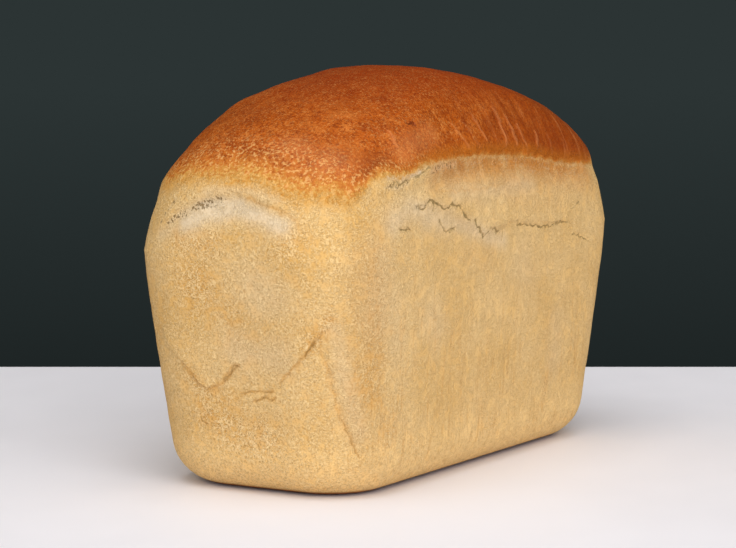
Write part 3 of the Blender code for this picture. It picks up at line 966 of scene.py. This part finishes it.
def crust_colour(graph, grain, ridges):
    """Paints the whole crust, from the walls through the browned edge to the crown."""
    fading = graph.mask("fading")
    flecks = graph.between(graph.noise(FLECK_SCALE, 3.0, 0.6), 0.50, 0.66)
    field = graph.between(graph.noise(FLECK_FIELD_SCALE, 3.0, 0.6), 0.34, 0.56, 0.25, 1.0)
    flecks = graph.times(flecks, field)
    wall = tan_and_shade_band(graph, wall_colour(graph, grain, ridges), flecks)
    ragged = graph.times(graph.math("SUBTRACT", graph.noise(RAGGED_SCALE, 4.0, 0.6), 0.5), 0.0044)
    salt = graph.times(graph.math("SUBTRACT", graph.noise(SALT_SCALE, 3.0, 0.6), 0.5), 1.4)
    browned = graph.math("DIVIDE", graph.plus(graph.above, ragged), fading)
    speckled = graph.plus(browned, salt)
    edge = graph.between(graph.above, 0.0075, 0.0012, 0.0, 0.6)
    crown = graph.mix(edge, crown_colour(graph, flecks), EDGE_ORANGE)
    wide = graph.between(fading, 0.0015, 0.005)
    gold = graph.mix(wide, LIP_TAN_AND_SHADE, EDGE_GOLD)
    body = graph.mix(graph.between(browned, -0.35, 0.20), wall, graph.mix(0.5, wall, gold))
    body = graph.wash(body, gold, speckled, 0.00, 0.40)
    body = graph.wash(body, EDGE_TAN, speckled, 0.25, 0.75)
    body = graph.wash(body, crown, speckled, 0.60, 1.10)
    near_edge = graph.times(graph.between(browned, 0.0, 0.4), graph.between(browned, 1.9, 0.9))
    crumbs = graph.between(graph.noise(CRUMB_SCALE, 3.0, 0.6), 0.52, 0.62)
    return graph.over(body, FLECK_PALE, crumbs, near_edge, wide, 0.55)


def crust_lines(graph, body):
    """Paints the cracks, the folds and shadow lines with their painted shade, torn pores and wrinkles over
    the crust's colour.
    """
    holes = graph.times(graph.pores, graph.between(graph.torn, 0.15, 0.5), 0.75)
    body = graph.over(body, FLOUR_GREY, graph.torn, 0.30)
    body = graph.mix(holes, body, PORE_BROWN)
    body = graph.wash(body, CROWN_BLUSH_AND_SHEEN, graph.mask("wrinkle"), 0.1, 0.9, 0.38)
    fold = graph.mask("fold")
    # painted shade: the fold and shadow lines darker, over the crust's own tone
    body = graph.wash(body, WALL_DEEP, fold, 0.05, 0.60, 0.35)
    body = graph.wash(body, FOLD_BROWN_AND_SHADE, fold, 0.50, 0.90, 0.60)
    thinned = graph.between(graph.noise(CRACK_GAP_SCALE, 3.0), 0.32, 0.60, 0.62, 1.0)
    crack = graph.times(graph.mask("crack"), thinned)
    brown = graph.mix(graph.between(graph.above, 0.002, 0.006), CRACK_BROWN, CROWN_CRACK)
    return graph.wash(body, brown, crack, 0.26, 0.76, 0.80)


def near_corner_painted_shade(graph):
    """Is 1 on the upright corner between the near end and the near side, where shade is painted on the
    crust.
    """
    rounded = graph.times(graph.between(graph.side, 0.62, 0.88), graph.between(graph.side, 1.0, 0.96))
    return graph.times(rounded, graph.between(graph.across, -0.07, -0.10))


def crust_material():
    """Makes the crust: pale gold walls, a toasted band, and a chestnut crown with a soft sheen."""
    material = bpy.data.materials.new("baked crust")
    graph = Graph(material)
    place = graph.add("SeparateXYZ", Vector=graph.places["Object"])
    graph.across, graph.height = place.outputs["X"], place.outputs["Z"]
    graph.side, graph.above = graph.mask("side"), graph.mask("above_edge")
    graph.pale, graph.torn = graph.mask("pale"), graph.mask("torn")
    opened = graph.plus(graph.noise(PORE_SCALE, 2.0, 0.5), graph.times(graph.torn, 0.10))
    graph.pores = graph.between(opened, 0.61, 0.68)
    end = graph.between(graph.side, 0.9, 0.3)
    near_corner = graph.between(graph.across, -0.04, -0.10, 0.55, 0.85)
    floury = graph.between(graph.pale, 0.2, 1.0, 1.0, 0.4)
    rougher = graph.between(graph.mask("golden_and_shade"), 0.2, 0.9, 1.0, 1.5)
    graph.coarseness = graph.times(graph.math("MAXIMUM", end, near_corner), floury, rougher)
    grain = graph.noise(GRAIN_SCALE, 3.0, 0.6, warp=0.5)
    ridge_field = graph.between(graph.noise(RIDGE_FIELD_SCALE, 3.0), 0.32, 0.54)
    ridges = graph.times(graph.worms(RIDGE_SCALE, 0.12), ridge_field)
    body = crust_lines(graph, crust_colour(graph, grain, ridges))
    # painted shade: the near corner darkened, where the lights fall most strongly
    body = graph.over(body, WALL_HOLLOW_AND_SHADE, near_corner_painted_shade(graph), 0.20)
    # the lowest few millimetres darker brown: browned base and painted shade under the rounding
    body = graph.wash(body, BASE_BROWN_AND_SHADE, graph.height, 0.0026, 0.0010)
    graph.feed(graph.shader, "Base Color", body)

    crown = graph.between(graph.above, 0.001, 0.008)
    polish = graph.between(graph.noise(POLISH_SCALE), 0.35, 0.65, *CROWN_ROUGHNESS)
    matt = graph.add("Mix", {"data_type": "FLOAT"}, i0=crown, i2=WALL_ROUGHNESS, i3=polish).outputs[0]
    graph.feed(graph.shader, "Roughness", matt)
    graph.shader.inputs["Specular IOR Level"].default_value = CRUST_SHINE

    relief = graph.plus(graph.times(grain, 0.55), graph.times(ridges, 0.45))
    relief = graph.times(relief, graph.between(crown, 0.0, 1.0, 1.0, 0.45))
    relief = graph.math("SUBTRACT", relief, graph.times(graph.pores, graph.torn, 0.9))
    bump = graph.add("Bump", Height=relief, Strength=0.9, Distance=GRAIN_HEIGHT)
    graph.feed(graph.shader, "Normal", bump.outputs["Normal"])
    return material


def table_material():
    """Makes the table's smooth, nearly white top."""
    material = bpy.data.materials.new("pale table")
    graph = Graph(material)
    cloud = graph.between(graph.noise(TABLE_CLOUD_SCALE, 3.0), 0.3, 0.7)
    graph.feed(graph.shader, "Base Color", graph.mix(cloud, TABLE_SHADE, TABLE_WHITE))
    polish = graph.between(graph.noise(TABLE_POLISH_SCALE, 3.0), 0.3, 0.7, 0.55, 0.62)
    graph.feed(graph.shader, "Roughness", polish)
    graph.shader.inputs["Specular IOR Level"].default_value = TABLE_SHINE
    return material


def camera_axes():
    """Gives the directions that the camera looks along and has to its right and above it."""
    look = Vector((math.cos(CAMERA_YAW) * math.cos(CAMERA_PITCH),
                   math.sin(CAMERA_YAW) * math.cos(CAMERA_PITCH), -math.sin(CAMERA_PITCH)))
    right = Vector((math.sin(CAMERA_YAW), -math.cos(CAMERA_YAW), 0.0))
    return look, right, right.cross(look)


def make_camera():
    """Places the camera so that the base's middle falls on its pixel in the photograph's frame."""
    look, right, above = camera_axes()
    sideways = (BASE_CENTRE_PIXEL[0] - FRAME_WIDTH / 2) / FOCAL_PIXELS
    downward = (BASE_CENTRE_PIXEL[1] - FRAME_HEIGHT / 2) / FOCAL_PIXELS
    data = bpy.data.cameras.new("camera")
    data.sensor_width = SENSOR_WIDTH
    data.lens = SENSOR_WIDTH * FOCAL_PIXELS / FRAME_WIDTH
    camera = add_object("camera", data)
    turn = Matrix((right, above, -look)).transposed().to_4x4()
    place = -(look + right * sideways - above * downward) * CAMERA_DISTANCE
    camera.matrix_world = Matrix.Translation(place) @ turn
    bpy.context.scene.camera = camera


def make_table():
    """Lays the table under the loaf, with its far edge square to the camera's view."""
    away = Vector((math.cos(CAMERA_YAW), math.sin(CAMERA_YAW), 0.0))
    across = Vector((math.sin(CAMERA_YAW), -math.cos(CAMERA_YAW), 0.0))
    corners = []
    for out, wide in ((-TABLE_FRONT, -1), (-TABLE_FRONT, 1), (TABLE_BEHIND, 1), (TABLE_BEHIND, -1)):
        corners.append(away * out + across * wide * TABLE_HALF_WIDTH)
    mesh = bpy.data.meshes.new("table")
    mesh.from_pydata([tuple(corner) for corner in corners], [], [(0, 1, 2, 3)])
    mesh.materials.append(table_material())
    add_object("table", mesh)


def make_softbox(name, place, size, power, tint):
    """Hangs a square soft light, turned towards the loaf."""
    data = bpy.data.lights.new(name, "AREA")
    data.size = size
    data.energy = power
    data.color = tint
    light = add_object(name, data)
    light.location = place
    light.rotation_euler = (Vector(LIGHT_AIM) - Vector(place)).to_track_quat("-Z", "Y").to_euler()


def make_room():
    """Makes the room: dark behind the loaf, and bright where the light comes from."""
    world = bpy.data.worlds.new("studio")
    graph = Graph(world)
    towards = graph.places["Generated"]
    height = graph.add("SeparateXYZ", Vector=towards).outputs["Z"]
    drop = graph.add("MapRange", Value=height, i1=ROOM_DROP[0], i2=ROOM_DROP[1]).outputs["Result"]
    shown = graph.add("Background", Color=graph.mix(drop, ROOM_DARK, ROOM_SLATE)).outputs[0]
    facing = graph.add("VectorMath", {"operation": "DOT_PRODUCT"}, i0=towards, i1=FILL_FROM)
    share = graph.between(facing.outputs["Value"], *FILL_SPREAD)
    glow = graph.mix(share, ROOM_SLATE, FILL_COLOUR)
    filling = graph.add("Background", Color=glow).outputs[0]
    seen = graph.add("LightPath").outputs["Is Camera Ray"]
    blend = graph.add("MixShader", i0=seen, i1=filling, i2=shown).outputs[0]
    graph.feed(graph.tree.nodes["World Output"], "Surface", blend)
    bpy.context.scene.world = world


def make_light():
    """Lights the loaf from above and in front, against a dark slate room."""
    for softbox in SOFTBOXES:
        make_softbox(*softbox)
    make_room()
    bpy.context.scene.view_settings.view_transform = "Standard"


make_loaf(crust_material())
make_table()
make_camera()
make_light()
